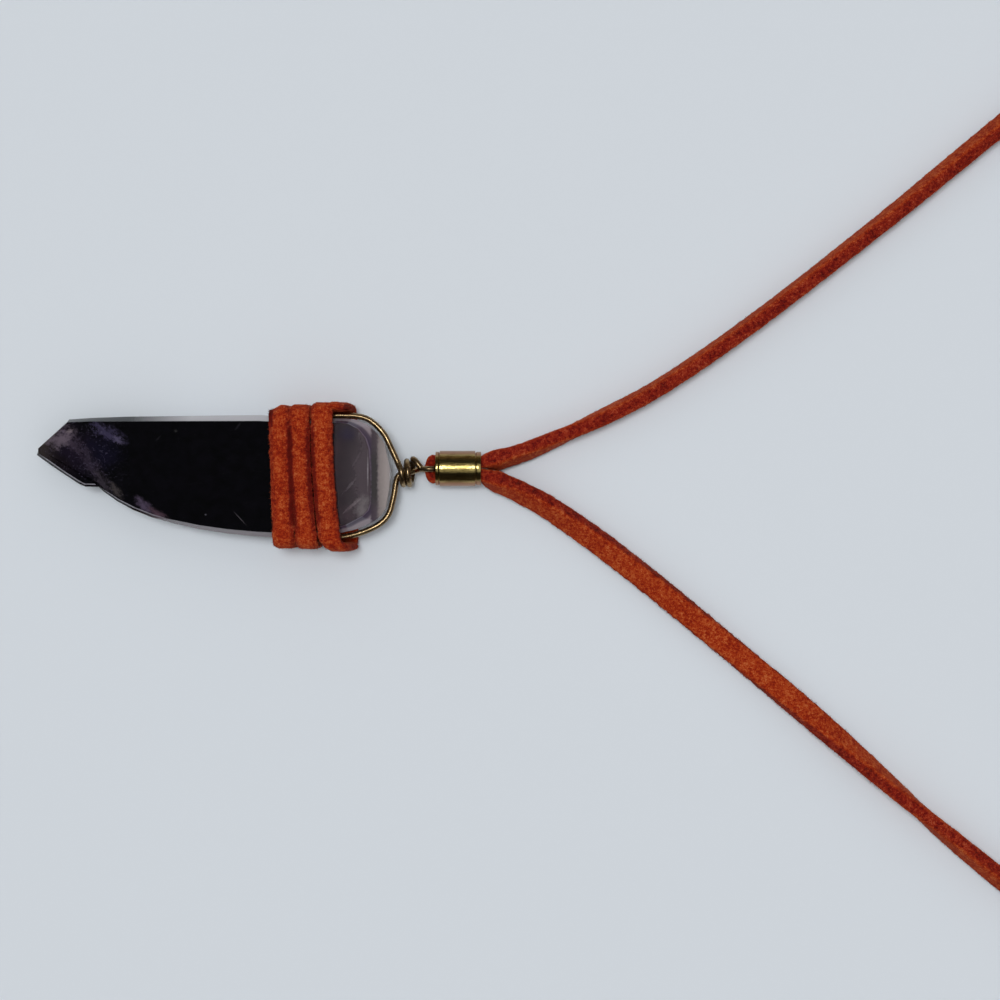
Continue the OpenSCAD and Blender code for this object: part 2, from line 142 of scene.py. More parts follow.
def lace(name, centres, across, outwards, half_w, half_t, seed, square=SQUARE, shoulders=(0, 0),
         low=None, inner_nap=True):
    """A length of suede lace as one closed mesh, with the nap's longer fibres standing on it.
    square is how sharp its corners are, and shoulders slope the outer face down to the two sides,
    where the cut edges then show. Nothing reaches below low, and inner_nap says whether the inner
    face has a nap too."""
    rings = len(centres)
    angles = np.arange(ROUND) * 2 * math.pi / ROUND
    u, v = squared(angles, square)
    half_w, half_t, left, right = (np.broadcast_to(s, rings)[:, None] for s in (half_w, half_t, *shoulders))
    shoulder = np.where(u < 0, left, right) * (v > 0)
    side = u * half_w
    # The outer face is flat in its middle half, or in less where a shoulder is steep.
    flat = 0.5 - 0.5 * np.clip((shoulder - 1.1) / 0.6, 0, 1)
    rise = v * (1 - shoulder * np.clip((np.abs(u) - flat) / (1 - flat), 0, 1) ** 1.3) * half_t
    points = centres[:, None] + across[:, None] * side[..., None] + outwards[:, None] * rise[..., None]
    around = np.roll(points, -1, axis=1) - np.roll(points, 1, axis=1)
    forwards = np.gradient(centres, axis=0)[:, None] + np.zeros_like(points)
    normals = unit(np.cross(around, forwards))
    # How far a point is on a cut edge: up to 1 on the narrow sides, and past 1 on a steep shoulder,
    # where the suede's material paints shade into the valley between turns.
    cut = np.clip((np.abs(u) - 0.88) / 0.1, 0, 1) * np.clip((0.95 - np.abs(v)) / 0.3, 0, 1)
    cut = np.maximum(cut, shoulder * np.clip((np.abs(u) - 0.45) / 0.25, 0, 1))
    tuft = np.array([
        noise.noise(Vector(p / CLUMP)) + FINER_SHARE * noise.noise(Vector(p / CLUMP * FINER))
        for p in points.reshape(-1, 3)
    ]).reshape(rings, ROUND)
    stand = tuft * (NAP_BUMP + (EDGE_BUMP - NAP_BUMP) * np.minimum(cut, 1)) * (inner_nap | (v > -0.5))
    points = points + normals * stand[..., None]
    if low is not None:
        points[..., 2] = np.maximum(points[..., 2], low)

    # The fibres are thin three-sided spikes at places drawn at random, and each leans its own way.
    draw = np.random.default_rng(seed)
    length, girth = length_of(centres), 4 * (half_w.mean() + half_t.mean())
    count = int(length * girth / MM ** 2 * FIBRES_PER_MM2)
    i = draw.integers(0, rings - 1, count)
    j = draw.integers(0, ROUND, count)
    along, over = draw.random((2, count, 1))
    after = (j + 1) % ROUND
    root = (points[i, j] * (1 - along) + points[i + 1, j] * along) * (1 - over)
    root += (points[i, after] * (1 - along) + points[i + 1, after] * along) * over
    up, run = normals[i, j], unit(forwards[i, j])
    turn = draw.random((count, 1)) * 2 * math.pi
    lay = run * np.cos(turn) + np.cross(up, run) * np.sin(turn)
    lift = draw.uniform(0.25, 1.1, (count, 1))
    size = FIBRE_L * draw.uniform(0.4, 1.3, (count, 1))
    size *= 0.8 + 0.5 * cut[i, j][:, None]                   # longer on a cut edge
    tips = root + unit(lay + up * lift) * size
    first = unit(np.cross(lay, up)) * FIBRE_R
    second = up * FIBRE_R
    sunk = root - up * FIBRE_R
    feet = [sunk + first, sunk - first / 2 + second, sunk - first / 2 - second]
    keep = np.min([p[:, 2] for p in feet + [tips]], axis=0) > (-1 if low is None else low)
    keep &= inner_nap | (v[j] > -0.5)
    spikes = np.stack(feet + [tips], axis=1)[keep]
    count = len(spikes)

    body = rings * ROUND
    ring_no, point_no = np.divmod(np.arange((rings - 1) * ROUND), ROUND)
    a = ring_no * ROUND + point_no
    b = ring_no * ROUND + (point_no + 1) % ROUND
    quads = np.stack([a, b, b + ROUND, a + ROUND], axis=1)
    base = body + 4 * np.arange(count)[:, None]
    triangles = np.stack([base + f for f in ([1, 0, 3], [2, 1, 3], [0, 2, 3], [0, 1, 2])], axis=1)
    faces = quads.tolist() + triangles.reshape(-1, 3).tolist()
    faces += [list(range(ROUND))[::-1], list(range(body - ROUND, body))]
    mesh = bpy.data.meshes.new(name)
    mesh.from_pydata(np.concatenate([points.reshape(-1, 3), spikes.reshape(-1, 3)]), [], faces)

    # The map: the strip folded into rows, then a cell for each fibre, then the two ends.
    folds = max(1, round(math.sqrt(length / girth)))
    per_row = -(-(rings - 1) // folds)
    row, place = np.divmod(ring_no, per_row)
    strip = 1 - FIBRE_SHARE - CAP_SHARE
    left, right = place / per_row, (place + 1) / per_row
    bottom, top = ((row + (point_no + k) / ROUND) / folds * strip for k in (0, 1))
    strip_map = np.stack([left, bottom, left, top, right, top, right, bottom], axis=1)
    columns = math.ceil(math.sqrt(count / FIBRE_SHARE))
    down, over = np.divmod(np.arange(count), columns)
    cell = np.array([1 / columns, FIBRE_SHARE / math.ceil(count / columns)])
    corner = np.stack([over, down], axis=1) * cell + [0, strip]
    feet = corner[:, None] + np.array([(0, 0), (0.9, 0), (0, 0.9), (0.3, 0.3)]) * cell
    spare = corner[:, None] + np.array([(0.95, 0.3), (0.95, 0.95), (0.3, 0.95)]) * cell
    fibre_map = np.concatenate([feet[:, [1, 0, 3, 2, 1, 3, 0, 2, 3]], spare], axis=1)
    ring_of_ends = np.stack([np.cos(angles), np.sin(angles)], axis=1) * CAP_SHARE * 0.45
    ends = [ring_of_ends[::-1] + (0.25, 1 - CAP_SHARE / 2), ring_of_ends + (0.75, 1 - CAP_SHARE / 2)]
    layer = mesh.uv_layers.new(name="OFBake")
    layer.data.foreach_set("uv", np.concatenate([strip_map.ravel(), fibre_map.ravel(), np.ravel(ends)]))

    for label, on_body, on_fibres in (
        ("cut_edge_and_valley_shade", cut, np.repeat(cut[i, j][keep], 4)),
        ("tuft", tuft, np.repeat(tuft[i, j][keep], 4)),
        ("fibre_tip", np.zeros(body), np.tile([0, 0, 0, 1.0], count)),
    ):
        values = mesh.attributes.new(label, "FLOAT", "POINT")
        values.data.foreach_set("value", np.concatenate([np.ravel(on_body), on_fibres]))
    mesh.shade_smooth()
    piece = bpy.data.objects.new(name, mesh)
    bpy.context.scene.collection.objects.link(piece)
    return piece


def strand(name, rows, last_run, seed):
    """A strand along its route, rolled about its run as the table says."""
    line = even(smoothed(np.array(rows) * [MM, MM, MM, 1]), RING_STEP)
    roll = np.radians(line[:, 3])[:, None]
    opened = np.clip((line[:, 0] - BEAD_MOUTH_X) / OPEN_RUN, 0, 1)[:, None]
    half_w = (PRESSED_W + (LACE_W - PRESSED_W) * opened) / 2
    half_t = (PRESSED_T + (LACE_T - PRESSED_T) * opened) / 2
    half_t += SWELL * np.exp(-((line[:, :1] - SWELL_X) / SWELL_RUN) ** 2)
    # Each ring's middle lies as high as its outline reaches when it is rolled.
    u, v = squared(np.linspace(0, 2 * math.pi, 60), SQUARE)
    rest = np.max(u * half_w * np.sin(roll) + v * half_t * np.cos(roll), axis=1)
    centres = line[:, :3] + np.outer(rest, (0, 0, 1))
    run = unit(np.gradient(centres, axis=0))
    run[0], run[-1] = (1, 0, 0), last_run
    side = unit(np.cross((0, 0, 1), run))
    up = np.cross(run, side)
    piece = lace(
        name, centres, side * np.cos(roll) + up * np.sin(roll), up * np.cos(roll) - side * np.sin(roll),
        half_w[:, 0], half_t[:, 0], seed, low=TABLE_GAP,
    )
    return piece, centres


def linear(code):
    """An sRGB hex colour as the shader's linear one."""
    parts = [int(code[k:k + 2], 16) / 255 for k in (1, 3, 5)]
    return [p / 12.92 if p <= 0.04045 else ((p + 0.055) / 1.055) ** 2.4 for p in parts] + [1]


def add(tree, kind, inputs={}, stops=(), **settings):
    """A shader node with its settings, its ramp's stops, and its inputs, by name or number, as values
    or links."""
    made = tree.nodes.new("ShaderNode" + kind)
    for setting, value in settings.items():
        setattr(made, setting, value)
    for place, colour in stops[2:]:
        made.color_ramp.elements.new(place)
    for k, (place, colour) in enumerate(stops):
        made.color_ramp.elements[k].position = place
        made.color_ramp.elements[k].color = linear(colour) if isinstance(colour, str) else [colour] * 3 + [1]
    for key, value in inputs.items():
        if isinstance(value, bpy.types.Node):
            value = value.outputs["Result" if value.bl_idname == "ShaderNodeMix" else 0]
        if isinstance(value, bpy.types.NodeSocket):
            tree.links.new(value, made.inputs[key])
        else:
            made.inputs[key].default_value = value
    return made


def new_material(name):
    material = bpy.data.materials.new(name)
    material.use_nodes = True
    material.node_tree.nodes.clear()
    return material, material.node_tree


def in_mm(tree):
    """The place on the piece, in millimetres."""
    place = add(tree, "TexCoord")
    return add(tree, "Mapping", {"Vector": place.outputs["Object"], "Scale": [1 / MM] * 3})


# Napped suede scatters light in its fibres: matt, with a soft sheen at grazing angles, mottled where
# tufts lean different ways. Its colour follows the tufts' height: partly its own uneven tone, partly
# painted shade, deep red in the pits between tufts, and painted highlight on tufts that stand out. Its
# fibres are finer than the picture shows, so they are drawn coarser.
TUFT_MM, FIBRE_MM, PATCH_MM = 0.4, 0.15, 2.5
suede, tree = new_material("rust_microfibre_suede")
place = in_mm(tree)
tufts = add(tree, "TexNoise", {"Vector": place, "Scale": 1 / TUFT_MM, "Detail": 5, "Roughness": 0.7})
fine = add(tree, "TexNoise", {"Vector": place, "Scale": 1 / FIBRE_MM, "Detail": 3, "Roughness": 0.7})
patches = add(tree, "TexNoise", {"Vector": place, "Scale": 1 / PATCH_MM, "Detail": 2})
standing = add(tree, "Attribute", attribute_name="tuft")
# Its mottling is tufts and fibres, with a little of the patches.
mixed = add(tree, "Math", {0: tufts, 1: 0.5, 2: 0.0}, operation="MULTIPLY_ADD")
mixed = add(tree, "Math", {0: fine, 1: 0.4, 2: mixed}, operation="MULTIPLY_ADD")
mixed = add(tree, "Math", {0: patches, 1: 0.1, 2: mixed}, operation="MULTIPLY_ADD")
# The colour ramps go by this height: lower is darker, as painted shade in the pits, and higher is paler, as
# painted highlight on raised tufts.
height = add(tree, "Math", {0: standing.outputs["Fac"], 1: 0.06, 2: mixed}, operation="MULTIPLY_ADD")
face = add(tree, "ValToRGB", {0: height}, stops=[
    (0.4, "#701000"), (0.46, "#8a2002"), (0.5, "#9a300a"), (0.55, "#a84418"), (0.62, "#ba6638")])
edge = add(tree, "ValToRGB", {0: height}, stops=[
    (0.42, "#4a0402"), (0.49, "#7a1206"), (0.55, "#8e280f"), (0.64, "#a64f31")])
on_edge_and_valley = add(tree, "Attribute", attribute_name="cut_edge_and_valley_shade")
at_tip = add(tree, "Attribute", attribute_name="fibre_tip")
colour = add(tree, "Mix", {0: on_edge_and_valley.outputs["Fac"], 6: face, 7: edge}, data_type="RGBA")
# Fibre tips are painted paler: a painted highlight where they catch the light.
tip_highlight = add(tree, "Math", {0: at_tip.outputs["Fac"], 1: 0.35}, operation="MULTIPLY")
colour = add(tree, "Mix", {0: tip_highlight, 6: colour, 7: linear("#c8784e")}, data_type="RGBA")
# Past 1, on steep shoulders, the suede is painted dark: painted shade in the valleys where the wrap's turns
# press together.
valley_shade = add(tree, "MapRange", {
    "Value": on_edge_and_valley.outputs["Fac"], "From Min": 1.0, "From Max": 1.35, "To Max": 0.9})
colour = add(tree, "Mix", {0: valley_shade, 6: colour, 7: linear("#5c0902")}, data_type="RGBA")
bump = add(tree, "Bump", {"Height": mixed, "Strength": 0.6, "Distance": 0.25 * MM})
surface = add(tree, "BsdfPrincipled", {
    "Base Color": colour, "Roughness": 0.92, "Specular IOR Level": 0.2, "Normal": bump,
    "Sheen Weight": 0.12, "Sheen Roughness": 0.45, "Sheen Tint": linear("#e08050")})
add(tree, "OutputMaterial", {"Surface": surface})

for name, rows, node, last_run, seed in (
    ("suede_strand_upper", UPPER_STRAND, "strand_upper", (0, -1, 0), 11),
    ("suede_strand_lower", LOWER_STRAND, "strand_lower", (0, 1, 0), 12),
):
    piece, centres = strand(name, rows, last_run, seed)
    piece.data.materials.append(suede)
    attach(piece, "root")
    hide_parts(node)


# The crystal
# A blade of banded amethyst, sawn from the rock, ground to a flat slab with sloping edges and
# tumbled to a polish. Its body is nearly black, its chipped tip cloudy and its head clear.
WRAP_T = 1.2 * MM
GAP = 0.05 * MM                      # clearance between the lace and the crystal
MERGE = 0.002 * MM                   # points nearer than this are one
CRYSTAL_T = 4.8 * MM
REST_Z = WRAP_T + GAP
# The pendant lies on the back of its wrap and on the crystal's tip, so it leans a little.
PIVOT_X = 0.7 * MM
TIP_X = -30.2 * MM
LIE = math.atan(REST_Z / (PIVOT_X - TIP_X + GAP))
SHIFT_X = 0.17 * MM
FACE_UP = Vector((-math.sin(LIE), 0, math.cos(LIE)))
FRONT = REST_Z + CRYSTAL_T - (PIVOT_X + SHIFT_X) * math.sin(LIE)     # its front face, along FACE_UP
BAND_H = 1.4 * MM                    # height of the sloping band round the front face
GROUND_X, GROUND_Y = -14 * MM, 3.2 * MM
GROUND_H = 0.42 * MM                 # height of the band left of and below these, where it is shallower
EDGE_ROUND = 0.3 * MM                # how far the polish has rounded its edges
FLAT_ANGLE = math.radians(0.6)       # faces that meet at less than this are one
SHARP_ANGLE = math.radians(14)       # and edges sharper than this are rounded


def keep_faces_flat(piece):
    """Shade the rounding of the piece's edges without bending the light on its large faces."""
    weighted = piece.modifiers.new("flat faces", "WEIGHTED_NORMAL")
    weighted.keep_sharp = True
    bpy.ops.object.modifier_apply(modifier=weighted.name)


bpy.ops.object.select_all(action="DESELECT")
crystal = bpy.data.objects.new("amethyst_blade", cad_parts["crystal"].data.copy())
bpy.context.scene.collection.objects.link(crystal)
crystal.select_set(True)
bpy.context.view_layer.objects.active = crystal
bpy.ops.object.mode_set(mode="EDIT")
bpy.ops.mesh.select_mode(type="EDGE")
bpy.ops.mesh.select_all(action="SELECT")
bpy.ops.mesh.remove_doubles(threshold=MERGE)
bpy.ops.mesh.select_mode(type="VERT")
bpy.ops.mesh.select_all(action="DESELECT")
bpy.ops.object.mode_set(mode="OBJECT")
# Towards the tip the outer line of the lower edge's band is raised, so that the band is shallower.
for point in crystal.data.vertices:
    depth = FRONT - FACE_UP.dot(point.co)
    point.select = abs(depth - BAND_H) < 0.05 * MM and point.co.x < GROUND_X and point.co.y < GROUND_Y
bpy.ops.object.mode_set(mode="EDIT")
bpy.ops.transform.translate(value=FACE_UP * (BAND_H - GROUND_H))
bpy.ops.mesh.select_mode(type="EDGE")
bpy.ops.mesh.select_all(action="SELECT")
bpy.ops.mesh.dissolve_limited(angle_limit=FLAT_ANGLE)
bpy.ops.mesh.select_all(action="DESELECT")
bpy.ops.mesh.edges_select_sharp(sharpness=SHARP_ANGLE)
bpy.ops.mesh.bevel(offset=EDGE_ROUND, segments=3, clamp_overlap=True)
bpy.ops.mesh.select_all(action="DESELECT")
bpy.ops.object.mode_set(mode="OBJECT")
bpy.ops.object.shade_smooth_by_angle(angle=math.radians(30))
keep_faces_flat(crystal)
crystal.data.materials.clear()

# Amethyst is quartz: glassy, with quartz's own IOR. Its inclusions show as clouds and veins under the
# polish, where they are near the face, and its sloping edges look grey because light comes through.
# Numbers along X, along Y and in depth are in mm.
QUARTZ_IOR = 1.544
CLOUDY_MM, GRAIN_MM, SMOKE_MM = 1.5, 0.35, 3
WAVE_MM, WAVE_H = 6, 0.05 * MM       # the polish is not quite flat
amethyst, tree = new_material("polished_amethyst")
place = in_mm(tree)
apart = add(tree, "SeparateXYZ", {0: place})
cloudy = add(tree, "TexNoise", {
    "Vector": place, "Scale": 1 / CLOUDY_MM, "Detail": 7, "Roughness": 0.6, "Distortion": 0.3})
grain = add(tree, "TexNoise", {"Vector": place, "Scale": 1 / GRAIN_MM, "Detail": 4, "Roughness": 0.7})
smoke = add(tree, "TexNoise", {"Vector": place, "Scale": 1 / SMOKE_MM, "Detail": 4, "Roughness": 0.5})
body = add(tree, "ValToRGB", {0: cloudy}, stops=[(0.35, "#020203"), (0.75, "#07060b")])
# The head, right of the wrap, is clear and smoky.
in_head = add(tree, "MapRange", {"Value": apart.outputs["X"], "From Min": 10.2, "From Max": 11.0})
across_head = add(tree, "MapRange", {"Value": apart.outputs["X"], "From Min": 10.8, "From Max": 15.6})
across_head = add(tree, "Math", {0: smoke, 1: 0.6, 2: across_head}, operation="MULTIPLY_ADD")
across_head = add(tree, "Math", {0: grain, 1: 0.3, 2: across_head}, operation="MULTIPLY_ADD")
across_head = add(tree, "Math", {0: across_head, 1: 0.2}, operation="SUBTRACT")
smoky = add(tree, "ValToRGB", {0: across_head}, stops=[
    (0.2, "#4a3840"), (0.34, "#342a30"), (0.7, "#393136"), (1.0, "#4e444a")])
colour = add(tree, "Mix", {0: in_head, 6: body, 7: smoky}, data_type="RGBA")
# Columns: middle x and y, half length and half width, in mm, turn in degrees, colour, strength,
# raggedness.
CLOUDS_AND_PAINTED_LIGHT = [
    (-28.9, 3.5, 3.2, 2.4, -30, "#332d2c", 0.9, 0.5),
    (-24.8, 3.6, 6.5, 5.0, -40, "#191220", 0.75, 0.8),
    (-21.0, 3.4, 3.8, 4.0, 0, "#100e20", 0.7, 0.8),
    (-26.5, 1.8, 3.2, 1.4, -38, "#110b10", 0.9, 0.6),
    # This one, along the tip's upper-left edge, is painted light coming through the edge.
    (-28.2, 5.4, 3.2, 0.5, 43, "#5e5854", 0.6, 0.7),
    (-25.2, 4.6, 3.8, 1.5, -42, "#443a48", 0.45, 1.5),
    (-22.6, 1.6, 3.6, 1.5, -56, "#38303e", 0.45, 1.7),
    (-20.9, -0.9, 2.8, 1.3, -44, "#3c363e", 0.5, 1.7),
    (-26.9, 5.2, 2.8, 2.1, 30, "#6e626e", 0.6, 1.3),
    (-25.6, 6.1, 0.8, 0.5, 30, "#7e7278", 0.5, 1.2),
    (-20.4, 5.9, 3.6, 1.4, -24, "#48425f", 0.5, 1.5),
    (-18.9, 4.9, 1.1, 0.8, -24, "#565068", 0.55, 1.5),
    (-19.2, -2.0, 1.8, 0.8, -50, "#4e4848", 0.5, 1.4),
    (-15.4, -4.0, 2.2, 1.0, -40, "#5a4e64", 0.6, 1.1),
    (-13.4, -5.3, 2.4, 0.8, -30, "#5a4652", 0.65, 1.0),
    (-2.2, -5.8, 1.8, 0.13, -46, "#4e4a50", 0.6, 0.6),
    (-6.9, -5.3, 0.22, 0.18, 0, "#54545c", 0.8, 0.2),
    (-11.0, 6.1, 0.4, 0.3, 0, "#262626", 0.9, 0.5),
    (-2.4, 6.8, 1.1, 0.14, 55, "#26242a", 0.8, 0.5),
    (-13.4, 5.1, 0.9, 0.12, 48, "#201e24", 0.8, 0.5),
    (12.4, 5.6, 1.8, 1.5, 20, "#2a2440", 0.75, 0.6),
    (12.2, -5.2, 2.4, 1.8, 0, "#4c3c44", 0.6, 0.6),
    (14.4, -4.2, 1.6, 2.2, -20, "#827c7e", 0.6, 0.9),
    (13.2, -4.0, 2.6, 0.3, 42, "#8c7e84", 0.45, 1.0),
    (12.6, -1.6, 2.2, 0.25, 50, "#70666e", 0.45, 1.0),
    (13.6, 2.0, 1.9, 0.2, 62, "#6c626a", 0.35, 1.2),
    # This last one is no inclusion: a painted highlight, the thin glint along the front face's right edge.
    (15.25, 0.4, 3.8, 0.13, 90, "#b8b0b8", 0.5, 0.9),
]
CLOUD_Z, CLOUD_HALF_H = 5.2, 9       # they go down through the stone
WISPS_PER_HALF = 1.6                 # wisps in a cloud's half length
WISPS, SPECKS = 2.4, 0.8             # how deep these two wear into a cloud's rim
RIM_SHARE = 1 / 3                    # of a cloud, where it fades out
for x, y, half_l, half_w, turn, shade, strength, ragged in CLOUDS_AND_PAINTED_LIGHT:
    spot = add(tree, "Mapping", {
        "Vector": place, "Location": (x, y, CLOUD_Z), "Rotation": (0, 0, math.radians(turn)),
        "Scale": (half_l, half_w, CLOUD_HALF_H)}, vector_type="TEXTURE")
    wisps = add(tree, "TexNoise", {"Vector": spot, "Scale": WISPS_PER_HALF, "Detail": 6, "Roughness": 0.7})
    spot = add(tree, "TexGradient", {"Vector": spot}, gradient_type="SPHERICAL")
    worn = add(tree, "Math", {0: wisps, 1: WISPS * ragged, 2: spot}, operation="MULTIPLY_ADD")
    worn = add(tree, "Math", {0: grain, 1: SPECKS * ragged, 2: worn}, operation="MULTIPLY_ADD")
    mean_wear = (WISPS + SPECKS) / 2 * ragged
    worn = add(tree, "MapRange", {
        "Value": worn, "From Min": mean_wear + 0.05, "From Max": mean_wear + 1.0, "To Max": strength},
        interpolation_type="SMOOTHSTEP")
    inside = add(tree, "Math", {0: spot, 1: 1 / RIM_SHARE}, operation="MULTIPLY", use_clamp=True)
    worn = add(tree, "Math", {0: worn, 1: inside}, operation="MULTIPLY")
    colour = add(tree, "Mix", {0: worn, 6: colour, 7: linear(shade)}, data_type="RGBA")
# Tiny cracks near the tip, each catching a point of light.
cracked = add(tree, "MapRange", {"Value": apart.outputs["X"], "From Min": -17.0, "From Max": -21.0})
flecks = add(tree, "MapRange", {"Value": grain, "From Min": 0.57, "From Max": 0.7, "To Max": 0.42})
flecks = add(tree, "Math", {0: flecks, 1: cracked}, operation="MULTIPLY")
colour = add(tree, "Mix", {0: flecks, 6: colour, 7: linear("#4c485a")}, data_type="RGBA")
# Light through the sloping edges, which lie deeper than the front face: it is palest along the upper
# side, and at the head it changes with depth and then towards the right end.
depth = add(tree, "VectorMath", {0: place, 1: FACE_UP}, operation="DOT_PRODUCT")
depth = add(tree, "Math", {0: FRONT / MM, 1: depth.outputs["Value"]}, operation="SUBTRACT")
on_band = add(tree, "MapRange", {"Value": depth, "From Min": 0.04, "From Max": 0.12})
along = add(tree, "MapRange", {"Value": apart.outputs["X"], "From Min": -17.5, "From Max": -9.0})
lit = add(tree, "Math", {0: along, 1: on_band}, operation="MULTIPLY")
side = add(tree, "MapRange", {"Value": apart.outputs["Y"], "From Min": -10.0, "From Max": 10.0})
edge_light = add(tree, "ValToRGB", {0: side}, stops=[
    (0.0, "#857b80"), (0.3, "#5a5258"), (0.45, "#6a646a"), (0.75, "#a4a4a8"), (1.0, "#bcbcc2")])
shoulder_light = add(tree, "ValToRGB", {0: depth}, stops=[
    (0.0, "#8e8090"), (0.12, "#7c6e80"), (0.2, "#4c4254"), (0.55, "#5c5262"), (0.8, "#a0949c")])
# The head's end is pale, and a dark band with ragged rims runs down the head before it: a painted
# reflection of the back facets, seen through the stone.
toward_end = add(tree, "MapRange", {"Value": apart.outputs["X"], "From Min": 15.0, "From Max": 18.0})
toward_end = add(tree, "Math", {0: grain, 1: 0.24, 2: toward_end}, operation="MULTIPLY_ADD")
toward_end = add(tree, "Math", {0: toward_end, 1: 0.12}, operation="SUBTRACT")
end_light = add(tree, "ValToRGB", {0: toward_end}, stops=[
    (0.18, "#4e4450"), (0.45, "#625860"), (0.58, "#9c9291"), (0.9, "#b6acaa"), (1.0, "#b2aaaa")])
painted_back_facets = add(tree, "ValToRGB", {0: toward_end}, stops=[(0.2, 0.0), (0.27, 0.9), (0.46, 0.9), (0.54, 0.0)])
up = add(tree, "MapRange", {"Value": apart.outputs["Y"], "From Min": -6.0, "From Max": 5.0})
up = add(tree, "Math", {0: grain, 1: 0.2, 2: up}, operation="MULTIPLY_ADD")
up = add(tree, "ValToRGB", {0: up}, stops=[(0.2, 0.0), (0.4, 1.0), (0.85, 1.0), (1.0, 0.3)])
painted_back_facets = add(tree, "Math", {0: painted_back_facets, 1: up}, operation="MULTIPLY")
end_light = add(tree, "Mix", {0: painted_back_facets, 6: end_light, 7: linear("#484646")}, data_type="RGBA")
at_end = add(tree, "MapRange", {"Value": toward_end, "From Min": 0.15, "From Max": 0.25})
head_light = add(tree, "Mix", {0: at_end, 6: shoulder_light, 7: end_light}, data_type="RGBA")
edge_light = add(tree, "Mix", {0: in_head, 6: edge_light, 7: head_light}, data_type="RGBA")
colour = add(tree, "Mix", {0: lit, 6: colour, 7: edge_light}, data_type="RGBA")
# Towards the tip only the top of the lower edge's band is lit, as a thin line.
line = add(tree, "ValToRGB", {0: depth}, stops=[(0.02, 0.0), (0.05, 1.0), (0.14, 1.0), (0.2, 0.0)])
below = add(tree, "MapRange", {"Value": apart.outputs["Y"], "From Min": 3.0, "From Max": 2.2, "To Max": 0.9})
line = add(tree, "Math", {0: line, 1: below}, operation="MULTIPLY")
left = add(tree, "MapRange", {"Value": apart.outputs["X"], "From Min": -11.0, "From Max": -15.0})
line = add(tree, "Math", {0: line, 1: left}, operation="MULTIPLY")
worn = add(tree, "MapRange", {"Value": grain, "From Min": 0.35, "From Max": 0.6, "To Min": 0.55})
line = add(tree, "Math", {0: line, 1: worn}, operation="MULTIPLY")
colour = add(tree, "Mix", {0: line, 6: colour, 7: linear("#94929c")}, data_type="RGBA")
clear = add(tree, "Math", {0: in_head, 1: 0.3}, operation="MULTIPLY")
bump = add(tree, "Bump", {
    "Height": add(tree, "TexNoise", {"Vector": place, "Scale": 1 / WAVE_MM, "Detail": 1}),
    "Strength": 0.3, "Distance": WAVE_H})
surface = add(tree, "BsdfPrincipled", {
    "Base Color": colour, "Roughness": add(tree, "MapRange", {
        "Value": grain, "From Min": 0.3, "From Max": 0.7, "To Min": 0.02, "To Max": 0.07}),
    "IOR": QUARTZ_IOR, "Transmission Weight": clear, "Normal": bump})
add(tree, "OutputMaterial", {"Surface": surface})
crystal.data.materials.append(amethyst)
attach(crystal, "root")
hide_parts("crystal")


# The wrap
# The same suede lace, pulled tight three and a half times round the crystal and the ends of the wire,
# so that its turns press together and turn their cut edges up to the left and right.
WRAP_W = 3.0 * MM                    # a little over the turns' distance, as they press into each other
CORNER_R = 0.55 * MM                 # inside radius of the lace at an edge of the crystal
CORNER_STEPS = 8
# A row for each turn, in mm: x at the four corners in the order that the lace meets them, then the
# inside of the lace at the crystal's top and bottom edges.
WRAP = np.array([
    [3.6, 3.4, 3.95, 4.1, 8.42, -8.7],
    [6.45, 6.05, 7.0, 7.15, 8.5, -8.8],
    [9.3, 9.1, 10.2, 11.9, 8.8, -9.12],
    [11.7, 11.2, 11.6, 11.6, 8.85, -9.12],
]) * MM
WRAP_START = 2.1 * MM
FRONT_BOWS = (0, 0.3 * MM, 0.3 * MM)     # how far a turn bows to the left on its way over the front
# How far the left and right sides of each turn slope away on the front, and how much of that is left
# where the turn bends round the crystal's top and bottom. Where a slope is past 1, here and in the two
# corners below, the suede is painted dark: painted shade in the valleys between turns.
WRAP_SHOULDERS = np.array([(0.7, 1.5), (1.5, 1.25), (1.25, 0.6), (0.4, 1.3)])
SHOULDER_IN_BEND = 0.4
BEND_SLANT, LAST_SLANT = 0.3, 0.6    # how far a bend goes towards the next corner's x, and the last one
FIRST_CORNER = 1.6                   # the first turn's left side, pulled down over the crystal's top
LAST_CORNER = 1.6                    # the last turn's right side, pulled down to the wire
END_BEND = 0.6                       # how much of a bend the last turn makes before it is tucked in


def leant(directions):
    """Directions in the pendant's own plane, as they lie on the table."""
    directions = np.asarray(directions, float)
    x, y, z = np.moveaxis(directions, -1, 0)
    return np.stack([x * math.cos(LIE) - z * math.sin(LIE), y, x * math.sin(LIE) + z * math.cos(LIE)], -1)


def laid(points):
    """Points in the pendant's own plane, as they lie on the table."""
    return leant(np.asarray(points, float) - [PIVOT_X, 0, 0]) + [PIVOT_X + SHIFT_X, 0, 0]


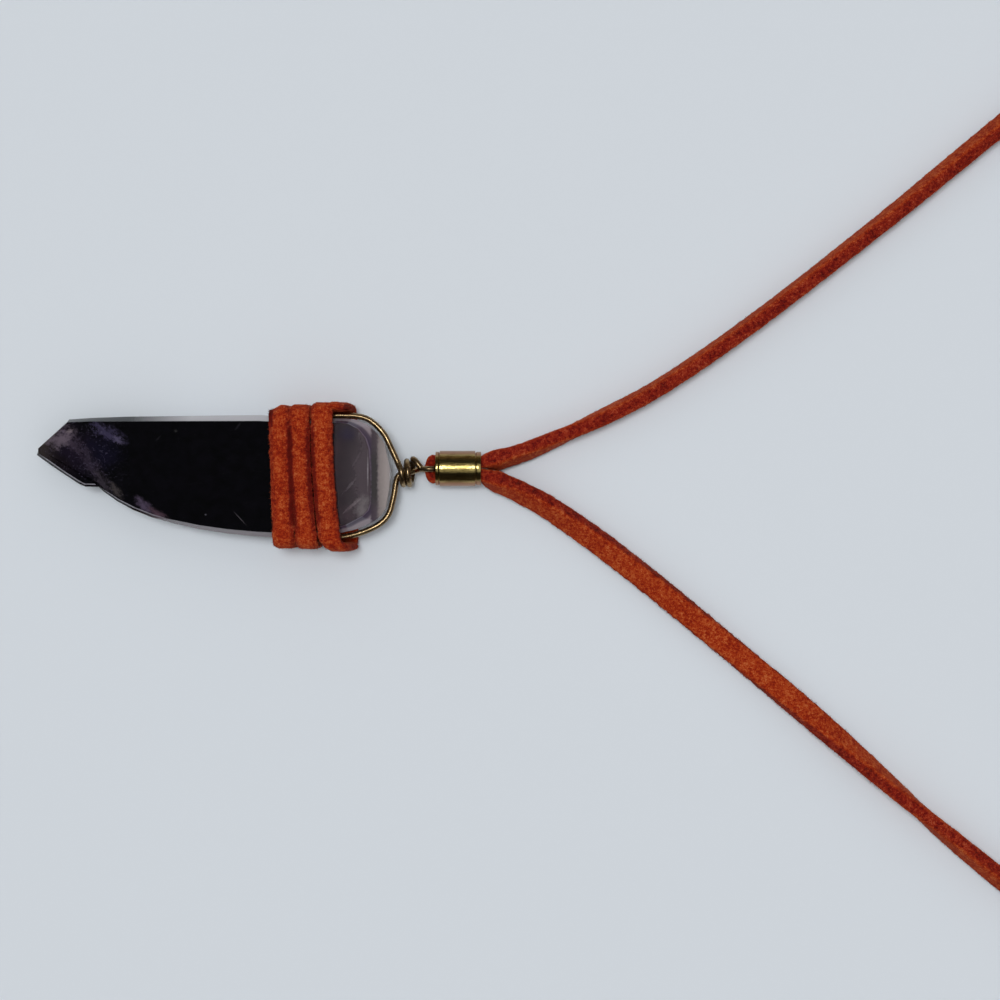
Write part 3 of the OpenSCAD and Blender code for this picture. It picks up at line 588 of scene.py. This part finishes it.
# The lace's middle line: each corner's bend, and the bowed runs over the front between them.
low, high = REST_Z - GAP, REST_Z + CRYSTAL_T + GAP
route = [(WRAP_START, 0, low - WRAP_T / 2, -90, *(WRAP_SHOULDERS[0] * SHOULDER_IN_BEND))]
for t, turn in enumerate(WRAP):
    for c in range(4 if t < 3 else 2):
        centre_y = turn[4] - CORNER_R if c < 2 else turn[5] + CORNER_R
        centre_z = high - CORNER_R if c in (1, 2) else low + CORNER_R
        next_x = turn[1] if c < 2 else turn[3]
        shoulders = WRAP_SHOULDERS[t] * SHOULDER_IN_BEND
        if t == 0 and c < 2:
            shoulders[0] = FIRST_CORNER
        if t == 3 and c == 1:
            shoulders[1] = LAST_CORNER
        whole = 1 if t < 3 or c == 0 else END_BEND
        slant = LAST_SLANT if (t, c) == (2, 2) else BEND_SLANT
        for k in range(CORNER_STEPS + 1):
            part = k / CORNER_STEPS * whole
            angle = math.radians(90 * (c - 1) + 90 * part)
            r = CORNER_R + WRAP_T / 2
            route.append((
                turn[c] + (next_x - turn[c]) * part * slant,
                centre_y + r * math.cos(angle), centre_z + r * math.sin(angle),
                360 * t + 90 * (c - 1) + 90 * part, *shoulders))
        if c == 1 and t < 3:
            start, end = np.array(route[-1]), np.array([turn[2], turn[5] + CORNER_R, route[-1][2], 0, 0, 0])
            for part in np.arange(0.1, 1, 0.1):
                middle = 4 * part * (1 - part)               # 1 half way, 0 at the bends
                between = start[:3] + (end[:3] - start[:3]) * part - [FRONT_BOWS[t] * middle, 0, 0]
                on_front = min(1, 2 * middle)
                edges = shoulders * (1 - part) + WRAP_SHOULDERS[t] * SHOULDER_IN_BEND * part
                edges = edges * (1 - on_front) + WRAP_SHOULDERS[t] * on_front
                route.append((*between, start[3], *edges))
route = even(route, RING_STEP)
angle = np.radians(route[:, 3])
across = leant(np.broadcast_to((1.0, 0, 0), (len(route), 3)))
outwards = leant(np.stack([0 * angle, np.cos(angle), np.sin(angle)], axis=1))
wrap = lace(
    "suede_wrap", laid(route[:, :3]), across, outwards, WRAP_W / 2, WRAP_T / 2, 13,
    square=(0.45, 0.6), shoulders=(route[:, 4], route[:, 5]), low=0.0, inner_nap=False,
)
wrap.data.materials.append(suede)
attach(wrap, "root")
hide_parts("lace_wrap")


# The wire
# One length of soft round brass wire, 0.82 mm thick, bent by hand: two arms along the crystal's head
# with their ends under the wrap, a stem, an eye, and a coil wound round the stem to close it.
WIRE_D = 0.82 * MM
WIRE_PLANE = REST_Z + 2.25 * MM      # half way up the crystal's outer edge
ARM_OUT = 0.15 * MM                  # gap between the arms and the crystal
# The wire's middle line, in mm. The arms' last column is how far they bend down out of WIRE_PLANE, and
# that of the stem and the neck's bend is their height.
LOWER_ARM = [
    (8.6, -8.65, 0), (9.9, -8.6, 0), (11.4, -8.45, 0), (13, -8.13, 0), (14.4, -7.7, 0.05),
    (15.6, -7.2, 0.1), (16.65, -6.6, 0.2), (17.5, -5.85, 0.35), (18.05, -4.9, 0.5),
    (18.4, -3.6, 0.7), (18.7, -2.1, 0.92), (18.87, -0.85, 1.1),
]
STEM = [(19.2, 0.02, 2.97), (19.95, 0.42, 2.95), (20.6, 0.48, 2.93), (21.15, 0.62, 2.72), (21.65, 0.82, 2.25)]
NECK_BEND = [(22.3, 1.12, 3.6), (21.95, 1.55, 3.6), (21.6, 2, 3.5), (21.32, 2.27, 3.28)]
UPPER_ARM = [
    (19.2, 1.75, 0.05), (18.75, 2.75, 0.05), (18.15, 4.05, 0), (17.55, 5.3, 0), (16.9, 6.2, 0),
    (15.95, 7.15, 0), (14.85, 7.85, 0), (13.4, 8.2, 0), (11.8, 8.28, 0), (10, 8.3, 0), (7.6, 8.32, 0),
]
EYE = np.array((23.45, 0.95, 2.5))                   # its middle
EYE_R = 1.47
EYE_IN, EYE_OUT, EYE_STEPS = 330, 58, 14             # degrees where the wire starts and leaves it
COIL_R = 1.6
COIL_FLARE = 0.3                     # the quarter turn nearest the eye stands out from the rest
COIL_X, COIL_PITCH = 19.7, 0.86      # its left end, and its run in one turn
NECK_Y, NECK_Z = 0.42, 2.95          # the stem, which it goes round
COIL_FROM, COIL_TO, COIL_STEP = 720, 90, -15         # degrees round the stem


def on_arm(rows):
    """An arm's points, in their place beside the leaning crystal."""
    rows = np.array(rows) * MM
    flat = np.stack([rows[:, 0] - SHIFT_X + ARM_OUT, rows[:, 1], np.full(len(rows), WIRE_PLANE)], axis=1)
    return laid(flat) - np.outer(rows[:, 2], (0, 0, 1))


eye_turn = np.radians(np.linspace(EYE_IN, EYE_OUT, EYE_STEPS + 1))[:, None]
eye = EYE + np.hstack([-np.cos(eye_turn), 0 * eye_turn, np.sin(eye_turn)]) * EYE_R
degrees = np.arange(COIL_FROM, COIL_TO + COIL_STEP, COIL_STEP)
coil_r = COIL_R + COIL_FLARE * np.clip((degrees - COIL_FROM + 90) / 90, 0, 1)
coil = np.stack([
    COIL_X + COIL_PITCH * (degrees - COIL_TO) / 360,
    NECK_Y + coil_r * np.cos(np.radians(degrees)),
    NECK_Z + coil_r * np.sin(np.radians(degrees)),
], axis=1)
wire_points = np.vstack([
    on_arm(LOWER_ARM), np.array(STEM) * MM, eye * MM, np.array(NECK_BEND) * MM, coil * MM, on_arm(UPPER_ARM)])

bpy.ops.object.select_all(action="DESELECT")
bpy.ops.curve.primitive_bezier_curve_add()
wire = bpy.context.active_object
wire.name = wire.data.name = "brass_wire"
wire.data.splines.remove(wire.data.splines[0])
spline = wire.data.splines.new("BEZIER")
spline.bezier_points.add(len(wire_points) - 1)
for point, at in zip(spline.bezier_points, wire_points):
    point.co = at
    point.handle_left_type = point.handle_right_type = "AUTO"
wire.data.resolution_u = 6           # steps from point to point
wire.data.bevel_depth = WIRE_D / 2
wire.data.bevel_resolution = 6
wire.data.use_fill_caps = True
wire.data.materials.clear()
bpy.ops.object.convert(target="MESH")
bpy.ops.object.mode_set(mode="EDIT")
bpy.ops.mesh.select_all(action="SELECT")
bpy.ops.mesh.remove_doubles(threshold=MERGE)
bpy.ops.mesh.normals_make_consistent(inside=False)
bpy.ops.mesh.select_all(action="DESELECT")
bpy.ops.object.mode_set(mode="OBJECT")
bpy.ops.object.shade_smooth_by_angle(angle=math.radians(40))


STAIN_MM = 1.1                       # size of a patch of tarnish
SCRATCH_MM = 1.5                     # length of a scratch, drawn coarser than it is so that it shows
SHINE = 0.25                         # how much smoother brass is where it is clean


def brass(name, shades, polish, scratch_w, sides=None):
    """Brass with fine scratches, scratch_w mm wide. shades are its tarnished and clean colours, polish
    its usual roughness, and sides, where it has them, the colour of a painted reflection on its lower
    sides and the height that they reach in mm."""
    material, tree = new_material(name)
    place = in_mm(tree)
    stain = add(tree, "TexNoise", {"Vector": place, "Scale": 1 / STAIN_MM, "Detail": 5, "Roughness": 0.6})
    lines = add(tree, "Mapping", {"Vector": place, "Scale": (1 / SCRATCH_MM, 1 / scratch_w, 1 / scratch_w)})
    lines = add(tree, "TexNoise", {"Vector": lines, "Scale": 1.0, "Detail": 3, "Roughness": 0.6})
    # It is cleaner along scratches and between stains.
    mixed = add(tree, "Math", {0: lines, 1: 0.5, 2: 0.0}, operation="MULTIPLY_ADD")
    mixed = add(tree, "Math", {0: stain, 1: 0.5, 2: mixed}, operation="MULTIPLY_ADD")
    colour = add(tree, "ValToRGB", {0: mixed}, stops=[(0.38, shades[0]), (0.58, shades[1])])
    # The lower sides get a painted reflection, not a colour of the brass.
    if sides:
        height = add(tree, "SeparateXYZ", {0: place}).outputs["Z"]
        low = add(tree, "MapRange", {
            "Value": height, "From Min": sides[1] + 0.2, "From Max": sides[1] - 0.2, "To Max": 0.8})
        colour = add(tree, "Mix", {0: low, 6: colour, 7: linear(sides[0])}, data_type="RGBA")
    rough = add(tree, "Math", {0: stain, 1: -SHINE, 2: polish + SHINE / 2}, operation="MULTIPLY_ADD")
    rough = add(tree, "Math", {0: lines, 1: 0.12, 2: rough}, operation="MULTIPLY_ADD")
    uneven = add(tree, "Math", {0: stain, 1: 0.7, 2: 0.0}, operation="MULTIPLY_ADD")
    uneven = add(tree, "Math", {0: lines, 1: 0.3, 2: uneven}, operation="MULTIPLY_ADD")
    bump = add(tree, "Bump", {"Height": uneven, "Strength": 0.5, "Distance": 0.07 * MM})
    surface = add(tree, "BsdfPrincipled", {
        "Base Color": colour, "Metallic": 1.0, "Roughness": rough, "Normal": bump})
    add(tree, "OutputMaterial", {"Surface": surface})
    return material


# Drawn brass handled for years has gone brownish, with its shine left on the crown of each bend.
wire.data.materials.append(brass("handled_brass_wire", ("#6e5c44", "#a8906a"), 0.22, 0.12))
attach(wire, "root")
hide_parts("wire_frame")


# The bead
# A brass tube bead turned on a lathe, with a groove that parts a rim from the barrel at each end and
# its edges eased. It is pushed over the fold and both strands, and grips them.
BEAD_X, BEAD_Y, BEAD_Z = 24.3 * MM, 1.03 * MM, 2.45 * MM         # the middle of its left end
BEAD_L = 6.25 * MM
BARREL_R = 4.9 / 2 * MM
RIM_R = 4.65 / 2 * MM
BORE_R = 4.3 / 2 * MM
LEFT_RIM, RIGHT_RIM = 0.58 * MM, 0.79 * MM
GROOVE_W = 0.18 * MM                 # its floor is about half of this
GROOVE_R = RIM_R - 0.1 * MM
EDGE_EASE = 0.07 * MM
TURNING_STEPS = 96


def turned(name, outline, centre, axis, ease):
    """A solid turned on a lathe: its outline, as places along and out from the axis, is drawn point by
    point from one vertex, spun round, closed and given eased edges."""
    bpy.ops.object.select_all(action="DESELECT")
    bpy.ops.mesh.primitive_plane_add(size=MM, location=(0, 0, 0))
    piece = bpy.context.active_object
    piece.name = piece.data.name = name
    along, out = Vector(axis), Vector((0, 0, 1))
    places = [Vector(centre) + along * x + out * r for x, r in outline]
    bpy.ops.object.mode_set(mode="EDIT")
    bpy.ops.mesh.select_mode(type="VERT")
    bpy.ops.mesh.select_all(action="SELECT")
    bpy.ops.mesh.merge(type="CENTER")
    bpy.ops.transform.translate(value=places[0])
    for here, there in zip(places, places[1:] + places[:1]):
        bpy.ops.mesh.extrude_vertices_move(TRANSFORM_OT_translate={"value": there - here})
    bpy.ops.mesh.select_all(action="SELECT")
    bpy.ops.mesh.remove_doubles(threshold=MERGE)
    bpy.ops.mesh.spin(steps=TURNING_STEPS, angle=2 * math.pi, center=centre, axis=axis)
    bpy.ops.mesh.select_all(action="SELECT")
    bpy.ops.mesh.remove_doubles(threshold=MERGE)
    bpy.ops.mesh.normals_make_consistent(inside=False)
    bpy.ops.mesh.select_all(action="DESELECT")
    bpy.ops.object.mode_set(mode="OBJECT")
    eased = piece.modifiers.new("eased", "BEVEL")
    eased.width = ease
    eased.segments = 3
    eased.limit_method = "ANGLE"
    eased.angle_limit = math.radians(30)
    bpy.ops.object.modifier_apply(modifier=eased.name)
    bpy.ops.object.shade_smooth_by_angle(angle=math.radians(50))
    keep_faces_flat(piece)
    return piece


bead = turned("brass_bead", [
    (0, BORE_R), (0, RIM_R), (LEFT_RIM - GROOVE_W, RIM_R), (LEFT_RIM - GROOVE_W * 0.4, GROOVE_R),
    (LEFT_RIM, GROOVE_R), (LEFT_RIM, BARREL_R), (BEAD_L - RIGHT_RIM, BARREL_R),
    (BEAD_L - RIGHT_RIM, GROOVE_R), (BEAD_L - RIGHT_RIM + GROOVE_W * 0.6, GROOVE_R),
    (BEAD_L - RIGHT_RIM + GROOVE_W, RIM_R), (BEAD_L, RIM_R), (BEAD_L, BORE_R),
], (BEAD_X, BEAD_Y, BEAD_Z), (1, 0, 0), EDGE_EASE)
# Polished brass: mirror-like, so it shows dark where the room is dark, with a soft streak of lamplight.
# Its lower sides are painted pinkish, a painted reflection of the red suede round it.
bead.data.materials.append(brass("polished_brass", ("#6c5b30", "#b2a066"), 0.12, 0.1, ("#a0705a", 4.0)))
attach(bead, "root")
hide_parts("bead")


# The fold
# A short end of the same suede lace, pinched narrow and folded over the wire's eye. Both its legs are
# pressed into the bead.
# Columns, in mm: x, y from the fold's middle line, half thickness, half width.
FOLD_LEG = [
    (23.46, 0, 0.76, 0.78), (23.52, 0.47, 0.68, 0.88), (23.7, 0.98, 0.7, 1.05), (23.98, 1.33, 0.69, 1.12),
    (24.35, 1.25, 0.55, 1.1), (25, 1.2, 0.58, 1.15), (26, 1, 0.62, 1.35), (27.2, 0.85, 0.7, 1.45),
    (28.4, 0.8, 0.73, 1.48), (29.5, 0.8, 0.75, 1.5),
]
FOLD_Z = 2.5
fold_end = FOLD_LEG[-1][0]
rows = []
for side, leg in ((-1, FOLD_LEG[::-1]), (1, FOLD_LEG[1:])):
    for x, y, half_t, half_w in leg:
        middle = EYE[1] + (BEAD_Y / MM - EYE[1]) * (x - EYE[0]) / (fold_end - EYE[0])
        rows.append((x, middle + side * y, FOLD_Z, half_t, half_w))
rows = even(smoothed(np.array(rows) * MM), RING_STEP / 2)
run = unit(np.gradient(rows[:, :3], axis=0))
upright = np.broadcast_to((0.0, 0, 1), run.shape)
fold = lace(
    "suede_fold", rows[:, :3], upright, -unit(np.cross(upright, run)), rows[:, 4], rows[:, 3], 14,
    square=(0.5, 0.6), inner_nap=False,
)
fold.data.materials.append(suede)
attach(fold, "root")
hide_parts("lace_fold")


# The clasp
# A plain barrel clasp at the back of the neck, turned from brass, with a collar round each mouth. The
# two strands are glued into its ends.
CLASP_X, CLASP_Y = 165 * MM, -1 * MM
CLASP_R = 5.4 / 2 * MM
CLASP_HALF = 7 * MM
CLASP_BORE_R = 2 * MM
BORE_BOTTOM = 2.5 * MM
COLLAR_L = 1.2 * MM
WAIST_DEPTH = 0.35 * MM
WAIST_R = CLASP_R - WAIST_DEPTH
RIDGE_HALF, RIDGE_FOOT = 0.2 * MM, 0.5 * MM          # the ridge where its two halves meet
half_clasp = [
    (BORE_BOTTOM, 0), (BORE_BOTTOM, CLASP_BORE_R), (CLASP_HALF, CLASP_BORE_R), (CLASP_HALF, CLASP_R),
    (CLASP_HALF - COLLAR_L, CLASP_R), (CLASP_HALF - COLLAR_L - WAIST_DEPTH, WAIST_R),
    (RIDGE_FOOT, WAIST_R), (RIDGE_HALF, CLASP_R),
]
clasp = turned(
    "brass_clasp", half_clasp + [(-x, r) for x, r in half_clasp[::-1]],
    (CLASP_X, CLASP_Y, CLASP_R), (0, 1, 0), EDGE_EASE,
)
# The same polished brass, yellower because it is handled less.
clasp.data.materials.append(brass("polished_brass_clasp", ("#98854a", "#c6b470"), 0.12, 0.1))
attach(clasp, "root")
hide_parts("clasp")


# Table and light
# A plain pale table in the even light of a whole ceiling, with a narrower light from the upper left.
# Polished things mirror neither of these, but a dark room with dim brown walls, a long dim panel
# overhead and a small lamp beside it.
bpy.ops.object.select_all(action="DESELECT")
bpy.ops.mesh.primitive_plane_add(size=3, location=(0, 0, 0))
table = bpy.context.active_object
table.name = "table"
paint, tree = new_material("matt_pale_paint")
surface = add(tree, "BsdfPrincipled", {"Base Color": linear("#d4dbe2"), "Roughness": 0.9})
add(tree, "OutputMaterial", {"Surface": surface})
table.data.materials.append(paint)

# Columns: name, strength, width and turn in degrees.
for name, energy, degrees, turn in (("ceiling", 1.3, 150, (0, 0, 0)), ("window", 1.5, 20, (-7, -6, 0))):
    sun = bpy.data.objects.new(name, bpy.data.lights.new(name, "SUN"))
    sun.data.energy = energy
    sun.data.angle = math.radians(degrees)
    sun.rotation_euler = [math.radians(a) for a in turn]
    sun.visible_glossy = False
    bpy.context.scene.collection.objects.link(sun)
# Columns: name, place and size in mm, watts.
for name, place, size, energy in (
    ("panel", (66.5, 18, 255), (157, 248), 0.08),
    ("lamp", (6, 35, 255), (20, 20), 0.15),
):
    lamp = bpy.data.objects.new(name, bpy.data.lights.new(name, "AREA"))
    lamp.data.shape = "RECTANGLE"
    lamp.data.size, lamp.data.size_y = (side * MM for side in size)
    lamp.data.energy = energy
    lamp.location = Vector(place) * MM
    lamp.visible_diffuse = False
    bpy.context.scene.collection.objects.link(lamp)
world = bpy.data.worlds.new("room")
world.use_nodes = True
tree = world.node_tree
towards = add(tree, "SeparateXYZ", {0: add(tree, "TexCoord").outputs["Generated"]})
walls = add(tree, "ValToRGB", {0: towards.outputs["Z"]}, stops=[
    (0.0, "#8e7a66"), (0.35, "#625348"), (0.6, "#363738"), (1.0, "#363738")])
# The room is darkest towards the picture's lower side.
near = add(tree, "MapRange", {
    "Value": towards.outputs["Y"], "From Min": 0.1, "From Max": -0.5, "To Max": 0.85})
walls = add(tree, "Mix", {0: near, 6: walls, 7: linear("#2a2624")}, data_type="RGBA")
tree.links.new(walls.outputs["Result"], tree.nodes["Background"].inputs[0])
bpy.context.scene.world = world
bpy.context.scene.view_settings.view_transform = "Standard"
